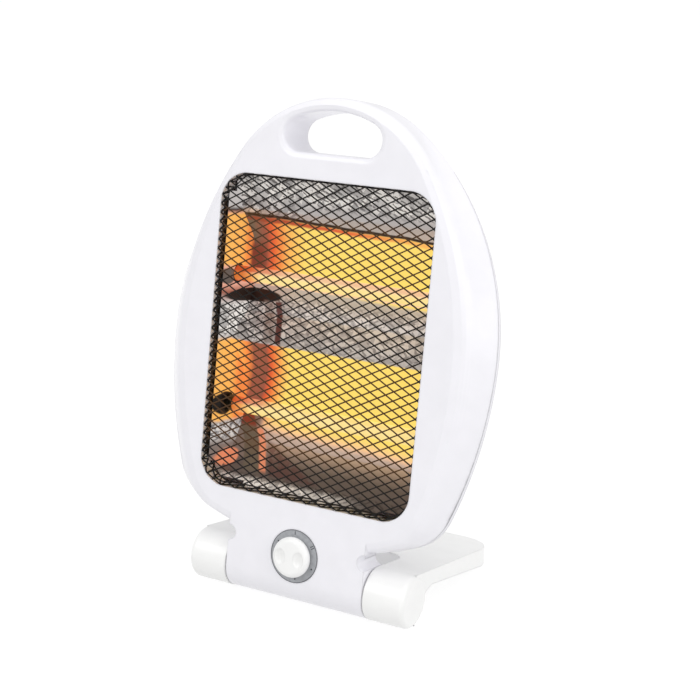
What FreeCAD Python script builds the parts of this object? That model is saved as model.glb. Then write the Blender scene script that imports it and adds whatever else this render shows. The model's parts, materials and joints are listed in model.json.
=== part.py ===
import FreeCAD, Part
import math
import os

from FreeCAD import Vector

# Portable quartz heater: an egg-shaped housing that leans back on a folding foot.
# The housing is modelled in its own frame, with x to the right, y to the back and z up
# along its flat front, and the hinge axis at the origin. It is leaned back at the end.
# All sizes are in millimetres, all angles in degrees.

# Stance
lean_angle = 10.5

# Walls and clearances
wall = 2.5
sheet = 0.8
slide_gap = 0.4
running_gap = 0.05
face_gap = 0.3
round_steps = 4

# Window
window_half_width = 89.0
window_bottom = 59.2
window_height = 236.0
window_corner = 22.0
window_top = window_bottom + window_height
window_middle = window_bottom + window_height / 2
reveal_wall = 2.0
reveal_depth = 13.0

# Handle opening, above the window
handle_half_width = 40.0
handle_sill = 19.0
handle_height = 31.0
handle_bar = 10.0
handle_round = 4.0
handle_bottom = window_top + handle_sill
crown_height = handle_bottom + handle_height + handle_bar

# Front bezel outline, around the window and the handle
front_depth = 19.5
crown_radius = 93.0
bezel_band = 29.0
bezel_belly_drop = 5.0
bezel_chin = 32.0
bezel_round = 6.0
bezel_round_share = 0.3
bezel_half_width = window_half_width + bezel_band
bezel_wide_height = window_middle - bezel_belly_drop
bezel_base_height = window_bottom - bezel_chin

# Wing outline, where the front and rear shells meet
wing_flare = 19.8
wing_chin = 36.0
wing_depth = -5.5
wing_tilt = 4.0
wing_round = 1.5
wing_round_share = 0.07
wing_half_width = bezel_half_width + wing_flare
wing_wide_height = window_middle
wing_base_height = window_bottom - wing_chin
flank_radius = 320.0
corner_radius = 40.0
base_radius = 240.0

# Rear dome
dome_depth = 74.0
dome_step = 6.8
dome_above_window = 13.0
dome_below_window = 22.0
dome_crown_drop = 62.0
dome_base_rise = 150.0
dome_half_width = wing_half_width - dome_step
dome_crown_height = window_top + dome_above_window
dome_base_height = window_bottom - dome_below_window
dome_crown_share = 0.9
dome_corner_share = 0.42
dome_flank_share = 1.9
dome_base_share = 1.5
dome_steps = 7
dome_sweep = 78.0

# Joint between the shells: the back cover lies between the neck and the handle
joint_margin = 2.0
neck_joint = wing_base_height + joint_margin
crown_joint = dome_crown_height + joint_margin

# Vents in the back
vent_pitch = 12.0
vent_half_length = 26.0
vent_half_height = 2.5
vent_side = 32.0
upper_vents = 6
upper_vent_rise = 15.6
lower_vents = 2
lower_vent_drop = 18.0

# Mesh guard
guard_sheet = 1.0
guard_lip = 3.5
guard_proud = 0.6
net_pitch_x = 25.4
net_pitch_z = 13.8
net_wire = 1.1
net_margin = 2.6
net_least_share = 0.2

# Neck and hinge barrel
floor_clearance = 0.4
barrel_radius = front_depth + floor_clearance
barrel_half_length = 92.5
barrel_end_round = 4.0
neck_half_width = 58.7
neck_back = 9.5
neck_top = 55.2
slot_end = 52.5
slot_radius = 6.0
neck_hollow_half_width = slot_end - wall
seam_gap = 1.0

# Reflector, set inside the window
reflector_side_gap = 5.0
reflector_half_width = window_half_width - reflector_side_gap
reflector_flange = 11.0
flange_half_width = 70.0
lower_flange = 9.0
lower_flange_half_width = 59.0
lower_corner_cut = 3.0
trough_depth = 24.0
trough_flat = 8.0
trough_bulge = 5.0
trough_bend_share = 0.58
ridge_depth = 8.0
end_plate_margin = 3.0

# Quartz tubes, one in front of each trough
tube_radius = 6.0
tube_wall = 1.2
tube_overhang = 8.0
tube_depth = 5.5
tube_hole_gap = 1.8
trough_half_height = 50.0
tube_half_length = reflector_half_width + tube_overhang
tube_hole_radius = tube_radius + tube_hole_gap
bracket_middle = window_middle - 9.0
upper_tube_height = bracket_middle + trough_half_height
lower_tube_height = bracket_middle - trough_half_height

# Heating coils
coil_radius = 3.2
coil_wire_radius = 0.5
coil_turns = 10
coil_end_gap = 6.0
coil_lead = 3.0
coil_tuck_share = 0.6
coil_half_length = reflector_half_width - coil_end_gap
stud_radius = 1.5
stud_seat_radius = 4.2
stud_seat = 1.0
stud_thread = 8.0
nut_radius = 3.2
nut_height = 2.4

# Tube caps and brackets
cap_wall = 3.5
cap_radius = tube_radius + cap_wall
cap_length = 16.0
bracket_width = 14.0
bracket_reach = 10.0
bracket_foot = 22.0
bracket_hole = 5.0
bracket_side = reflector_half_width + 2 * sheet + cap_length

# Knob and switch
knob_height = 18.7
knob_radius = 15.2
knob_depth = 7.4
knob_round = 4.0
knob_back_round = 2.8
dial_radius = 20.0
dial_sheet = 1.2
dial_recess = 1.0
shaft_radius = 3.0
shaft_hole_radius = 4.2
dimple_half_height = 7.0
dimple_half_width = 5.2
dimple_depth = 2.4
grip_half_width = 2.6
switch_width = 26.0
switch_height = 26.0
switch_depth = 13.0
switch_screw_spread = 9.0
switch_screw_floor = 0.8
switch_spade_spread = 8.0
shaft_engaged_share = 0.6
shaft_switch_share = 0.7

# Other electrical pieces, seated on the back of the neck's front wall and of the reflector
inner_round = 2.0
spade_sheet = 0.8
spade_half_width = 2.4
spade_length = 4.0
tilt_switch_x = 30.0
tilt_switch_width = 20.0
tilt_switch_depth = 11.0
terminal_x = -31.5
terminal_count = 3
terminal_pitch = 9.0
terminal_half_height = 9.0
terminal_depth = 10.0
clamp_radius = 2.4
wire_radius = 1.6
cutout_x = 34.0
cutout_radius = 7.0
cutout_depth = 6.0
gland_inset = 14.0
gland_rise = 34.0
gland_seat = 30.5
gland_radius = 6.0
gland_flange_radius = 9.0
gland_well_radius = 10.0
gland_flange = 2.0
gland_neck = 5.0
gland_collar = 4.0
gland_bore = 3.6

# Foot
foot_length = 143.0
foot_edge = 9.5
foot_side_step = 1.0
heel_reach = 1.5
hollow_reach = 10.0
hollow_drop = 6.4
root_reach = 30.0
root_rise = 2.0
toe_reach = 118.0
foot_skin = 2.4
foot_rim = 5.0
foot_rib = 2.4
foot_bays = 5
foot_corner = 28.0
foot_lift = 1.0
notch_depth = 47.0
notch_corner = 12.0
pin_radius = 4.0
pin_reach = 84.0
pin_head_radius = 6.0
pin_head = 2.0
washer_radius = 9.0
pad_width = 30.0
pad_length = 12.0
pad_sink = 1.2
pad_inset_x = 52.0
pad_inset_y = 16.0

# Screws
boss_radius = 4.5
rear_boss_radius = 5.5
flange_boss_radius = 3.5
screw_radius = 1.5
screw_head_radius = 3.0
screw_head = 2.0
screw_bite = 8.0
well_radius = 3.6
crown_screw_inset = 13.0
crown_screw_rise = 7.5
flank_screw_rise = 15.0
chin_screw_inset = 12.0
upper_flange_inset = 10.0
upper_flange_rise = 8.0
lower_flange_inset = 7.0
lower_flange_drop = 7.2


def arc(start, middle, end):
    return Part.Arc(start, middle, end).toShape()


def segment(start, end):
    return Part.LineSegment(start, end).toShape()


def flat(x, z):
    return Vector(x, 0, z)


def toward(start, end):
    return (end - start).normalize()


def arc_about(centre, radius, start, end):
    middle = toward(centre, (start + end) * 0.5)
    return arc(start, centre + middle * radius, end)


def circles_meet(first, first_radius, second, second_radius):
    # The right-hand, lower meeting point of two circles in the x-z plane.
    between = second - first
    apart = between.Length
    along = (first_radius ** 2 - second_radius ** 2 + apart ** 2) / (2 * apart)
    aside = math.sqrt(first_radius ** 2 - along ** 2)
    axis = between.normalize()
    side = Vector(axis.z, 0, -axis.x)
    return first + axis * along + side * aside


def mirrored(edges):
    plane = Vector(1, 0, 0)
    return [edge.mirror(Vector(0, 0, 0), plane) for edge in edges]


def egg_wire(crown, crown_round, wide, wide_at, base, inset=0.0, corner=corner_radius,
             flank=flank_radius, bottom=base_radius):
    # An egg in the x-z plane from tangent arcs: crown, upper flank, lower flank, corner and base.
    crown_centre = flat(0, crown - crown_round)
    rise = crown_centre.z - wide_at
    side = (rise ** 2 + wide ** 2 - crown_round ** 2) / (2 * (wide - crown_round))
    side_centre = flat(wide - side, wide_at)
    flank_centre = flat(wide - flank, wide_at)
    base_centre = flat(0, base + bottom)
    corner_centre = circles_meet(flank_centre, flank - corner, base_centre, bottom - corner)
    top = flat(0, crown - inset)
    shoulder = crown_centre + toward(side_centre, crown_centre) * (crown_round - inset)
    widest = flat(wide - inset, wide_at)
    hip = flank_centre + toward(flank_centre, corner_centre) * (flank - inset)
    heel = base_centre + toward(base_centre, corner_centre) * (bottom - inset)
    low = flat(0, base + inset)
    right = [
        arc_about(crown_centre, crown_round - inset, top, shoulder),
        arc_about(side_centre, side - inset, shoulder, widest),
        arc_about(flank_centre, flank - inset, widest, hip),
        arc_about(corner_centre, corner - inset, hip, heel),
        arc_about(base_centre, bottom - inset, heel, low),
    ]
    return Part.Wire(Part.__sortEdges__(right + mirrored(right)))


def blend(first, second, share):
    return first + (second - first) * share


def front_wire(share, inset=0.0):
    # One slice of the front: share is 0 at the bezel's crest and 1 at the wing edge.
    wide = blend(bezel_half_width, wing_half_width, share)
    wide_at = blend(bezel_wide_height, wing_wide_height, share)
    base = blend(bezel_base_height, wing_base_height, share)
    return egg_wire(crown_height, crown_radius, wide, wide_at, base, inset)


def front_slice(share, inset=0.0):
    # The slice in its place: the planes turn from upright at the crest to the wing's tilt.
    placed = front_wire(share, inset)
    placed.rotate(Vector(0, 0, wing_base_height), Vector(1, 0, 0), -wing_tilt * share)
    placed.translate(Vector(0, blend(-front_depth, wing_depth, share), 0))
    return placed


def dome_wire(share, inset=0.0):
    # One slice of the dome: share is 1 at the wing plane and falls to 0 at the back.
    middle = (dome_crown_height + dome_base_height) / 2
    drop = 1 - share
    crown = dome_crown_height - drop * dome_crown_drop
    base = dome_base_height + drop * dome_base_rise
    wide = dome_half_width * share
    return egg_wire(crown, wide * dome_crown_share, wide, middle, base, inset, corner=wide * dome_corner_share,
                    flank=wide * dome_flank_share, bottom=wide * dome_base_share)


def wing_depth_at(height):
    return wing_depth + math.tan(math.radians(wing_tilt)) * (height - wing_base_height)


def joint_depth(height):
    # Depth of the plane where the two shells meet, one wall in front of the wing plane.
    return wing_depth_at(height) - wall / math.cos(math.radians(wing_tilt))


def on_wing_plane(shape, offset):
    # Tilt an upright shape onto the wing plane, then push it back by offset.
    placed = shape.copy()
    placed.rotate(Vector(0, 0, wing_base_height), Vector(1, 0, 0), -wing_tilt)
    tilt = math.radians(wing_tilt)
    back = Vector(0, math.cos(tilt), -math.sin(tilt))
    placed.translate(Vector(0, wing_depth, 0) + back * offset)
    return placed


def at_depth(shape, depth):
    placed = shape.copy()
    placed.translate(Vector(0, depth, 0))
    return placed


def prism(wire, start, end):
    face = Part.Face(at_depth(wire, start))
    return face.extrude(Vector(0, end - start, 0))


def rod(centre, radius, start, end):
    # A cylinder along y from start to end; centre gives x and z.
    base = Vector(centre[0], start, centre[1])
    return Part.makeCylinder(radius, end - start, base, Vector(0, 1, 0))


def cross_rod(centre, radius, start, end):
    # A cylinder along x from start to end; centre gives y and z.
    base = Vector(start, centre[0], centre[1])
    return Part.makeCylinder(radius, end - start, base, Vector(1, 0, 0))


def block(low, high):
    return Part.makeBox(high[0] - low[0], high[1] - low[1], high[2] - low[2], Vector(*low))


def rounded_wire(half_width, bottom, top, corner, grow=0.0):
    # A rounded rectangle in the x-z plane, symmetric about x = 0.
    right = half_width + grow
    low = bottom - grow
    high = top + grow
    reach = corner + grow
    bend = reach * (1 - math.sqrt(0.5))
    edges = [
        segment(flat(0, high), flat(right - reach, high)),
        arc(flat(right - reach, high), flat(right - bend, high - bend), flat(right, high - reach)),
        segment(flat(right, high - reach), flat(right, low + reach)),
        arc(flat(right, low + reach), flat(right - bend, low + bend), flat(right - reach, low)),
        segment(flat(right - reach, low), flat(0, low)),
    ]
    return Part.Wire(Part.__sortEdges__(edges + mirrored(edges)))


def window_wire(grow=0.0):
    return rounded_wire(window_half_width, window_bottom, window_top, window_corner, grow)


def handle_wire(grow=0.0):
    # The hand opening: a straight sill and a top that follows the crown, joined by round ends.
    top_centre = flat(0, crown_height - crown_radius)
    top_radius = crown_radius - handle_bar
    sill = handle_bottom - top_centre.z
    half_sum = top_radius + sill - handle_half_width
    spread = handle_half_width ** 2 + sill ** 2 - top_radius ** 2
    end_radius = math.sqrt(half_sum ** 2 - spread) - half_sum
    end_centre = flat(handle_half_width - end_radius, handle_bottom + end_radius)
    touch = top_centre + toward(top_centre, end_centre) * (top_radius + grow)
    low = flat(end_centre.x, handle_bottom - grow)
    edges = [
        arc_about(top_centre, top_radius + grow, flat(0, top_centre.z + top_radius + grow), touch),
        arc(touch, end_centre + flat(end_radius + grow, 0), low),
        segment(low, flat(0, handle_bottom - grow)),
    ]
    return Part.Wire(Part.__sortEdges__(edges + mirrored(edges)))


def edges_at_depth(shape, depth):
    found = []
    for edge in shape.Edges:
        box = edge.BoundBox
        if abs(box.YMin - depth) < 0.01 and abs(box.YMax - depth) < 0.01:
            found.append(edge)
    return found


# Housing volumes

def dome_volume(inset=0.0):
    # Slices that follow a quarter ellipse from the wing plane to the flat of the back.
    wires = []
    for step in range(dome_steps):
        turn = math.radians(dome_sweep * step / (dome_steps - 1))
        slice_wire = dome_wire(math.cos(turn), inset)
        wires.append(on_wing_plane(slice_wire, (dome_depth - inset) * math.sin(turn)))
    return Part.makeLoft(wires, True, True)


def neck_profile(inset=0.0):
    # Side view of the neck: the flat front runs down as a tangent to the barrel's centre section.
    radius = front_depth - inset
    back = neck_back - inset
    side = Vector(0, -radius, 0)
    back_low = Vector(0, back, math.sqrt(radius ** 2 - back ** 2))
    edges = [
        segment(Vector(0, -radius, neck_top), side),
        arc(side, Vector(0, radius * math.sqrt(0.5), -radius * math.sqrt(0.5)), back_low),
        segment(back_low, Vector(0, back, neck_top)),
        segment(Vector(0, back, neck_top), Vector(0, -radius, neck_top)),
    ]
    return Part.Wire(Part.__sortEdges__(edges))


def neck_front_view():
    # Front view of the neck: above the barrel a round-ended slot on each side sets the egg apart.
    shelf = front_depth
    slot_centre = flat(slot_end + slot_radius, shelf + slot_radius)
    over = flat(slot_centre.x, neck_top)
    edges = [
        segment(flat(0, -2 * barrel_radius), flat(neck_half_width, -2 * barrel_radius)),
        segment(flat(neck_half_width, -2 * barrel_radius), flat(neck_half_width, shelf)),
        segment(flat(neck_half_width, shelf), slot_centre - flat(0, slot_radius)),
        arc(slot_centre - flat(0, slot_radius), flat(slot_end, slot_centre.z), slot_centre + flat(0, slot_radius)),
        segment(slot_centre + flat(0, slot_radius), over),
        segment(over, flat(0, neck_top)),
    ]
    return Part.Wire(Part.__sortEdges__(edges + mirrored(edges)))


def neck_volume():
    side = Part.Face(neck_profile()).extrude(Vector(4 * neck_half_width, 0, 0))
    side.translate(Vector(-2 * neck_half_width, 0, 0))
    return side.common(prism(neck_front_view(), -2 * front_depth, 2 * front_depth))


def neck_cavity():
    hollow = Part.Face(neck_profile(wall)).extrude(Vector(2 * neck_hollow_half_width, 0, 0))
    hollow.translate(Vector(-neck_hollow_half_width, 0, 0))
    return hollow


def front_region():
    # Everything that belongs to the front shell: the front, the whole neck and the whole handle.
    low = -2 * barrel_radius
    high = crown_height + barrel_radius
    reach = dome_depth + barrel_radius
    points = [
        Vector(0, -reach, low),
        Vector(0, reach, low),
        Vector(0, reach, neck_joint),
        Vector(0, joint_depth(neck_joint), neck_joint),
        Vector(0, joint_depth(crown_joint), crown_joint),
        Vector(0, reach, crown_joint),
        Vector(0, reach, high),
        Vector(0, -reach, high),
    ]
    face = Part.Face(Part.makePolygon(points + points[:1]))
    region = face.extrude(Vector(4 * wing_half_width, 0, 0))
    region.translate(Vector(-2 * wing_half_width, 0, 0))
    return region


def rounding(step, steps):
    # Share of a rounding that is still set in, from 1 at its start to 0 where it runs out smoothly.
    left = 1 - step / steps
    return 1 - math.sqrt(1 - left ** 2)


def egg_volume():
    steps = round_steps
    slices = [
        front_slice(bezel_round_share * step / steps, bezel_round * rounding(step, steps))
        for step in range(steps + 1)
    ]
    slices += [front_slice(1 - wing_round_share), front_slice(1.0, wing_round)]
    solid = Part.makeLoft(slices, True, True)
    solid = solid.cut(handle_hole())
    return solid.cut(prism(window_wire(), -2 * front_depth, -front_depth + reveal_depth))


def handle_hole():
    # The opening flares to a rounded rim at the front.
    steps = round_steps
    rim = [
        at_depth(handle_wire(handle_round * rounding(step, steps)), -front_depth + handle_round * step / steps)
        for step in range(steps + 1)
    ]
    rim = [at_depth(rim[0], -1)] + rim
    straight = prism(handle_wire(), -front_depth + handle_round, 2 * crown_radius)
    return Part.makeLoft(rim, True, True).fuse(straight)


def egg_cavity():
    # The hollow between the shells, with the window's reveal left standing and the handle solid.
    bezel = at_depth(front_wire(0.0, wall), -front_depth + wall)
    wing = on_wing_plane(front_wire(1.0, wall), -wall)
    hollow = Part.makeLoft([bezel, wing], True, True)
    throat = Part.Face(on_wing_plane(dome_wire(1.0, wall), -wall))
    tilt = math.radians(wing_tilt)
    hollow = hollow.fuse(throat.extrude(Vector(0, math.cos(tilt), -math.sin(tilt)) * wall))
    hollow = hollow.fuse(dome_volume(wall))
    hollow = hollow.cut(prism(window_wire(reveal_wall), -2 * front_depth, -front_depth + reveal_depth))
    handle = block((-crown_radius, -2 * front_depth, crown_joint), (crown_radius, 2 * front_depth, crown_height))
    return hollow.cut(handle)


# Places of screws and openings

crown_screw = (window_half_width - crown_screw_inset, window_top + crown_screw_rise)
flank_screw = (bracket_side + slide_gap + rear_boss_radius, bezel_wide_height + flank_screw_rise)
chin_screw = (slot_end - chin_screw_inset, window_bottom - lower_flange - rear_boss_radius - slide_gap)
housing_screw_places = [(side * x, z) for x, z in (crown_screw, flank_screw, chin_screw) for side in (-1, 1)]
upper_flange_screw = (flange_half_width - upper_flange_inset, window_top + upper_flange_rise)
lower_flange_screw = (lower_flange_half_width - lower_flange_inset, window_bottom - lower_flange_drop)
reflector_screw_places = [(side * x, z) for x, z in (upper_flange_screw, lower_flange_screw) for side in (-1, 1)]
vent_rows = [window_middle + upper_vent_rise + vent_pitch * row for row in range(upper_vents)]
vent_rows += [window_middle - lower_vent_drop - vent_pitch * row for row in range(lower_vents)]
gland_place = (gland_inset - bezel_half_width, window_bottom + gland_rise)

egg = egg_volume()
dome = dome_volume()
neck = neck_volume()
cavity = egg_cavity().fuse(neck_cavity())
region = front_region()
flange_depth = -front_depth + reveal_depth + guard_sheet
back_of_dome = dome_depth + wing_depth_at(crown_height)


def make_front_shell():
    solid = egg.common(region).fuse(neck.common(region))
    hollow = cavity
    for x, z in housing_screw_places:
        hollow = hollow.cut(rod((x, z), boss_radius, -front_depth, joint_depth(z)))
    for x, z in reflector_screw_places:
        hollow = hollow.cut(rod((x, z), flange_boss_radius, -front_depth, flange_depth))
    solid = solid.cut(hollow)
    for x, z in housing_screw_places:
        solid = solid.cut(rod((x, z), screw_radius, joint_depth(z) - screw_bite, back_of_dome))
    for x, z in reflector_screw_places:
        solid = solid.cut(rod((x, z), screw_radius, flange_depth - screw_bite, 0))
    spot = (0, knob_height)
    solid = solid.cut(rod(spot, dial_radius + running_gap, -2 * front_depth, -front_depth + dial_recess))
    solid = solid.cut(rod(spot, shaft_hole_radius, -2 * front_depth, 0))
    for place in switch_screw_places:
        solid = solid.cut(rod(place, screw_radius, -2 * front_depth, 0))
        solid = solid.cut(rod(place, screw_head_radius, -2 * front_depth, switch_screw_depth))
    return solid.cut(cross_rod((0, 0), pin_radius, -neck_half_width, neck_half_width))


def vent_slot(centre_x, height):
    straight = vent_half_length - vent_half_height
    slot = block((centre_x - straight, 0, height - vent_half_height),
                 (centre_x + straight, back_of_dome, height + vent_half_height))
    for side in (-1, 1):
        slot = slot.fuse(rod((centre_x + side * straight, height), vent_half_height, 0, back_of_dome))
    return slot


def make_rear_shell():
    solid = egg.cut(region).fuse(dome).fuse(neck.cut(region))
    hollow = cavity
    for x, z in housing_screw_places:
        hollow = hollow.cut(rod((x, z), rear_boss_radius, joint_depth(z), back_of_dome))
    hollow = hollow.cut(rod(gland_place, gland_well_radius, 0, back_of_dome))
    solid = solid.cut(hollow)
    for x, z in housing_screw_places:
        solid = solid.cut(rod((x, z), screw_radius + running_gap, -front_depth, back_of_dome))
        solid = solid.cut(rod((x, z), well_radius, joint_depth(z) + wall, back_of_dome))
    solid = solid.cut(rod(gland_place, gland_radius, -front_depth, back_of_dome))
    solid = solid.cut(rod(gland_place, gland_well_radius, gland_seat, back_of_dome))
    for height in vent_rows:
        for side in (-1, 1):
            solid = solid.cut(vent_slot(side * vent_side, height))
    return solid


# Guard, reflector and tubes

def make_mesh_guard():
    # A tray: the diamond net in front, walls bent back, and a lip behind the window's reveal.
    front = -front_depth - guard_proud
    back = -front_depth + reveal_depth
    outer = prism(window_wire(-slide_gap), front, back + guard_sheet)
    outer = outer.fuse(prism(window_wire(guard_lip), back, back + guard_sheet))
    inner = prism(window_wire(-slide_gap - guard_sheet), front + guard_sheet, 0)
    return outer.cut(inner).cut(net_holes(front - 1, front + 2 * guard_sheet))


def net_holes(start, end):
    # Diamond gaps, cut off square where they meet the frame of the net.
    frame = Part.Face(window_wire(-net_margin))
    columns = int(2 * window_half_width / net_pitch_x) + 1
    rows = int((window_top - window_bottom) / net_pitch_z) + 1
    middle = (window_top + window_bottom) / 2
    holes = []
    for column in range(-columns, columns + 1):
        for row in range(-rows, rows + 1):
            if (column + row) % 2:
                continue
            diamond = Part.Face(Part.makePolygon(net_diamond(column * net_pitch_x / 2, middle + row * net_pitch_z / 2)))
            gap = diamond.common(frame)
            holes += [face for face in gap.Faces if face.Area > net_least_share * diamond.Area]
    print("net gaps", len(holes))
    return Part.makeCompound([at_depth(hole, start).extrude(Vector(0, end - start, 0)) for hole in holes])


def net_diamond(x, z):
    slant = math.hypot(net_pitch_x, net_pitch_z) / 2
    half_x = net_pitch_x / 2 - net_wire * slant / net_pitch_z
    half_z = net_pitch_z / 2 - net_wire * slant / net_pitch_x
    corners = [flat(x - half_x, z), flat(x, z + half_z), flat(x + half_x, z), flat(x, z - half_z)]
    return corners + corners[:1]


def trough_points(height):
    # Bent-sheet trough behind one tube, from its upper edge to just short of its lower edge.
    deep = tube_depth + trough_depth
    lip = flange_depth + ridge_depth
    bend_depth = (deep + lip) / 2 + trough_bulge
    bend_height = trough_half_height * trough_bend_share
    return [
        (lip, height + trough_half_height),
        (bend_depth, height + bend_height),
        (deep, height + trough_flat),
        (deep, height - trough_flat),
        (bend_depth, height - bend_height),
    ]


def reflector_points():
    points = [(flange_depth, window_top + reflector_flange), (flange_depth, window_top)]
    points += trough_points(upper_tube_height)
    points += trough_points(lower_tube_height)
    points += [(flange_depth + ridge_depth, lower_tube_height - trough_half_height)]
    points += [(flange_depth, window_bottom), (flange_depth, window_bottom - lower_flange)]
    return points


def bent_sheet(points, thickness, half_length):
    # Sheet metal bent along a profile in the y-z plane, thick towards the back.
    front = [Vector(0, y, z) for y, z in points]
    back = []
    for index, point in enumerate(front):
        before = toward(front[index - 1], point) if index else toward(point, front[1])
        after = toward(point, front[index + 1]) if index + 1 < len(front) else before
        first = Vector(0, -before.z, before.y)
        second = Vector(0, -after.z, after.y)
        middle = (first + second).normalize()
        back.append(point + middle * (thickness / middle.dot(first)))
    face = Part.Face(Part.makePolygon(front + back[::-1] + front[:1]))
    solid = face.extrude(Vector(2 * half_length, 0, 0))
    solid.translate(Vector(-half_length, 0, 0))
    return solid


def make_reflector():
    solid = bent_sheet(reflector_points(), sheet, reflector_half_width)
    for side in sides.values():
        low, high = facing(side, flange_half_width, 2 * reflector_half_width)
        solid = solid.cut(block((low, -front_depth, window_top), (high, 0, crown_height)))
        low, high = facing(side, lower_flange_half_width, 2 * reflector_half_width)
        solid = solid.cut(block((low, -front_depth, 0), (high, 0, window_bottom + lower_corner_cut)))
    for x, z in reflector_screw_places:
        solid = solid.cut(rod((x, z), screw_radius + running_gap, -front_depth, tube_depth))
    return solid


tube_heights = {"upper": upper_tube_height, "lower": lower_tube_height}
sides = {"left": -1, "right": 1}


def facing(side, low_x, high_x):
    # The x range of a piece that lies between two distances from the middle, on one side.
    return (low_x, high_x) if side > 0 else (-high_x, -low_x)


def end_plate_points():
    # The plate closes the ends of both troughs and stands a little proud behind them.
    upper = [(y + end_plate_margin, z) for y, z in trough_points(upper_tube_height)[:3]]
    lower = [(y + end_plate_margin, z) for y, z in trough_points(lower_tube_height)[3:]]
    foot = (flange_depth + ridge_depth + end_plate_margin, lower_tube_height - trough_half_height)
    return [(flange_depth, window_top - 1)] + upper + lower + [foot, (flange_depth, window_bottom + 1)]


def make_end_plate(side):
    low, high = facing(side, reflector_half_width, reflector_half_width + sheet)
    points = [Vector(low, y, z) for y, z in end_plate_points()]
    plate = Part.Face(Part.makePolygon(points + points[:1])).extrude(Vector(high - low, 0, 0))
    for height in tube_heights.values():
        plate = plate.cut(cross_rod((tube_depth, height), tube_hole_radius, low - 1, high + 1))
    hole = (tube_depth, bracket_middle)
    return plate.cut(cross_rod(hole, screw_radius, low - 1, high + 1))


def make_tube(height):
    outer = cross_rod((tube_depth, height), tube_radius, -tube_half_length, tube_half_length)
    inner = cross_rod((tube_depth, height), tube_radius - tube_wall, -tube_half_length, tube_half_length)
    return outer.cut(inner)


def make_tube_cap(height, side):
    near = reflector_half_width + sheet
    low, high = facing(side, near, near + cap_length)
    body = cross_rod((tube_depth, height), cap_radius, low, high)
    low, high = facing(side, near, tube_half_length + slide_gap)
    body = body.cut(cross_rod((tube_depth, height), tube_radius + running_gap, low, high))
    low, high = facing(side, near, near + cap_length)
    return body.cut(cross_rod((tube_depth, height), stud_radius + running_gap, low, high))


def make_stud(height, side):
    cap_end = reflector_half_width + sheet + cap_length
    low, high = facing(side, coil_half_length, cap_end + stud_thread)
    stud = cross_rod((tube_depth, height), stud_radius, low, high)
    low, high = facing(side, coil_half_length, coil_half_length + stud_seat)
    stud = stud.fuse(cross_rod((tube_depth, height), stud_seat_radius, low, high))
    low, high = facing(side, cap_end, cap_end + nut_height)
    turns = [math.radians(60 * corner) for corner in range(7)]
    nut = Part.makePolygon([
        Vector(low, tube_depth + nut_radius * math.cos(turn), height + nut_radius * math.sin(turn)) for turn in turns
    ])
    return stud.fuse(Part.Face(nut).extrude(Vector(high - low, 0, 0)))


def make_bracket(side):
    # A hat-shaped strip: its foot is screwed to the end plate, its arms press on the tube caps.
    near = reflector_half_width + sheet
    far = near + cap_length
    half_foot = bracket_foot / 2
    low_z = lower_tube_height - bracket_reach
    high_z = upper_tube_height + bracket_reach
    outline = [
        (far, low_z), (far, bracket_middle - half_foot), (near, bracket_middle - half_foot),
        (near, bracket_middle + half_foot), (far, bracket_middle + half_foot), (far, high_z),
        (far + sheet, high_z), (far + sheet, bracket_middle + half_foot - sheet),
        (near + sheet, bracket_middle + half_foot - sheet), (near + sheet, bracket_middle - half_foot + sheet),
        (far + sheet, bracket_middle - half_foot + sheet), (far + sheet, low_z),
    ]
    front = tube_depth - bracket_width / 2
    points = [Vector(side * x, front, z) for x, z in outline]
    strip = Part.Face(Part.makePolygon(points + points[:1])).extrude(Vector(0, bracket_width, 0))
    for height in tube_heights.values():
        low, high = facing(side, far - 1, far + 2)
        strip = strip.cut(cross_rod((tube_depth, height), bracket_hole, low, high))
    low, high = facing(side, near - 1, near + 2)
    return strip.cut(cross_rod((tube_depth, bracket_middle), screw_radius + running_gap, low, high))


def make_bracket_screws():
    seat = reflector_half_width + 2 * sheet
    solids = []
    for side in sides.values():
        low, high = facing(side, seat, seat + screw_head)
        head = cross_rod((tube_depth, bracket_middle), screw_head_radius, low, high)
        low, high = facing(side, reflector_half_width, seat)
        solids.append(head.fuse(cross_rod((tube_depth, bracket_middle), screw_radius, low, high)))
    return Part.makeCompound(solids)


def arc_with_start(start, direction, end):
    # The edge that leaves start along direction and ends at end, on one circle.
    chord = end - start
    along = chord.dot(direction)
    across = chord - direction * along
    if across.Length < 1e-6:
        return segment(start, end)
    normal = across.normalize()
    radius = chord.dot(chord) / (2 * chord.dot(normal))
    centre = start + normal * radius
    middle = toward(centre, (start + end) * 0.5)
    return arc(start, centre + middle * radius, end)


def biarc(start, start_way, end, end_way):
    chord = end - start
    ways = start_way + end_way
    spread = 2 * (1 - start_way.dot(end_way))
    reach = chord.dot(ways)
    if spread < 1e-9:
        length = chord.dot(chord) / (2 * reach)
    else:
        length = (math.sqrt(reach ** 2 + spread * chord.dot(chord)) - reach) / spread
    joint = (start + end + (start_way - end_way) * length) * 0.5
    back = arc_with_start(end, end_way * -1, joint)
    return [arc_with_start(start, start_way, joint), back]


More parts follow.
